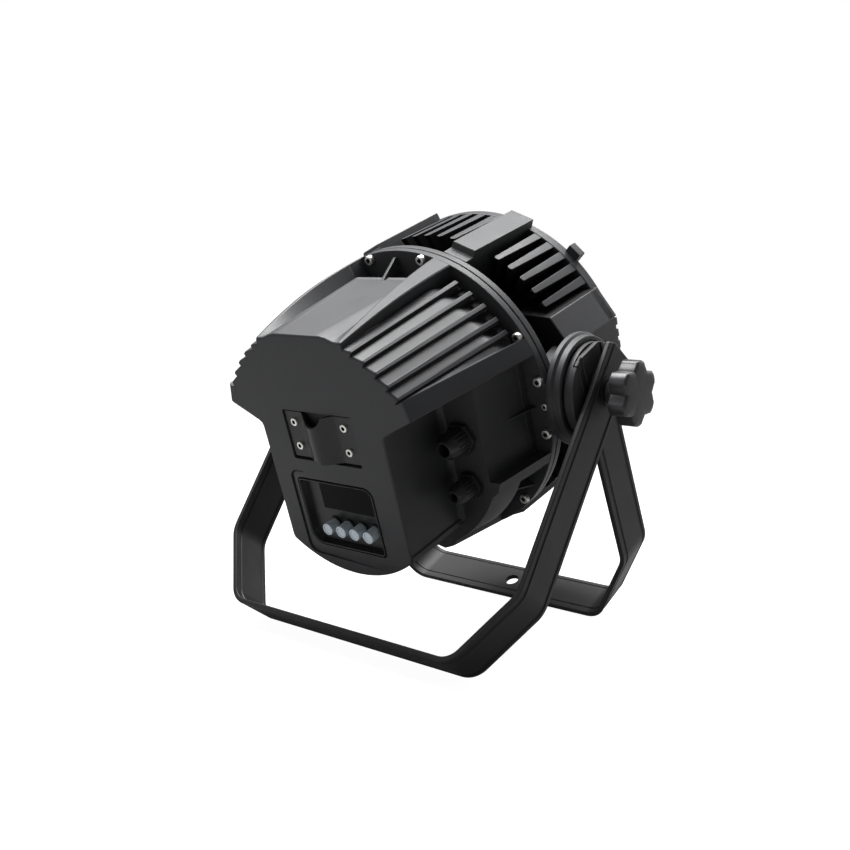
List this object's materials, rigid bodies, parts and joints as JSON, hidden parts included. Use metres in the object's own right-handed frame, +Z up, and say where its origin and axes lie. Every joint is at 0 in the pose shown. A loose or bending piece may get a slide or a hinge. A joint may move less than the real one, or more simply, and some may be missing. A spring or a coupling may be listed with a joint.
{
  "type": "par can light",
  "caption": "Weatherproof LED par can with a finned two-part head, twin folding yoke brackets, clamp knobs, rear display and cable glands.",
  "frame": {"origin": "centre of the footprint box on the floor", "axes": "+Z up, +Y horizontal direction the light is thrown in, +X along the pivot axis towards the right-hand knob seen from behind"},
  "size_m": [0.3664, 0.3042, 0.3543],
  "materials": {
    "housing_black": "matte",
    "bar_black": "satin",
    "stainless": "satin",
    "knob_grey": "matte",
    "nylon_black": "matte",
    "brass": "satin",
    "rubber_black": "matte",
    "front_glass": "gloss",
    "lens_clear": "gloss",
    "plate_black": "matte",
    "led_white": "gloss",
    "board_white": "satin",
    "board_green": "satin",
    "display_black": "gloss",
    "button_blue": "satin",
    "supply_metal": "satin",
    "bridge_black": "matte"
  },
  "bodies": {
    "stand": {"outer_bracket": "bar_black", "knob_washer_right": "stainless", "knob_washer_left": "stainless"},
    "front_leg": {"inner_bracket": "bar_black", "pivot_disc_right": "housing_black", "pivot_disc_left": "housing_black", "arm_spacer_right": "nylon_black", "arm_spacer_left": "nylon_black"},
    "head": {"front_housing": "housing_black", "rear_housing": "housing_black", "seam_gasket": "rubber_black", "front_bezel": "housing_black", "front_glass": "front_glass", "glass_gasket": "rubber_black", "bezel_screws": "stainless", "accessory_clips": "housing_black", "lens_plate": "plate_black", "lenses": "lens_clear", "led_board": "board_white", "led_chips": "led_white", "lens_posts": "stainless", "housing_screws": "stainless", "display_frame": "bridge_black", "display_window": "display_black", "display_module": "display_black", "control_board": "board_green", "button_switches": "plate_black", "board_standoffs": "brass", "safety_bridge": "bridge_black", "bridge_screws": "stainless", "gland_large_right": "nylon_black", "gland_cap_large_right": "nylon_black", "gland_small_right": "nylon_black", "gland_cap_small_right": "nylon_black", "gland_large_left": "nylon_black", "gland_cap_large_left": "nylon_black", "gland_small_left": "nylon_black", "gland_cap_small_left": "nylon_black", "power_supply": "supply_metal", "supply_standoffs": "brass", "pivot_stud_right": "stainless", "pivot_stud_left": "stainless"},
    "knob_r": {"knob_right": "knob_grey", "knob_insert_right": "brass"},
    "knob_l": {"knob_left": "knob_grey", "knob_insert_left": "brass"},
    "btn_1": {"button_1": "button_blue"},
    "btn_2": {"button_2": "button_blue"},
    "btn_3": {"button_3": "button_blue"},
    "btn_4": {"button_4": "button_blue"}
  },
  "joints": [
    {"name": "head_tilt", "type": "hinge", "parent": "stand", "child": "head", "pos_m": [0, 0.03229, 0.2116], "axis": [1, 0, 0], "range_deg": [-110, 70]},
    {"name": "front_leg_swing", "type": "hinge", "parent": "stand", "child": "front_leg", "pos_m": [0, 0.03229, 0.2116], "axis": [1, 0, 0], "range_deg": [-59, 60]},
    {"name": "knob_right_turn", "type": "hinge", "parent": "head", "child": "knob_r", "pos_m": [0.17, 0.03229, 0.2116], "axis": [1, 0, 0], "range_deg": [0, 360]},
    {"name": "knob_left_turn", "type": "hinge", "parent": "head", "child": "knob_l", "pos_m": [-0.17, 0.03229, 0.2116], "axis": [-1, 0, 0], "range_deg": [0, 360]},
    {"name": "button_1_press", "type": "slide", "parent": "head", "child": "btn_1", "axis": [0, 0.9421, 0.3355], "range_m": [0, 0.0012], "stiffness_N_per_m": 1500},
    {"name": "button_2_press", "type": "slide", "parent": "head", "child": "btn_2", "axis": [0, 0.9421, 0.3355], "range_m": [0, 0.0012], "stiffness_N_per_m": 1500},
    {"name": "button_3_press", "type": "slide", "parent": "head", "child": "btn_3", "axis": [0, 0.9421, 0.3355], "range_m": [0, 0.0012], "stiffness_N_per_m": 1500},
    {"name": "button_4_press", "type": "slide", "parent": "head", "child": "btn_4", "axis": [0, 0.9421, 0.3355], "range_m": [0, 0.0012], "stiffness_N_per_m": 1500}
  ]
}
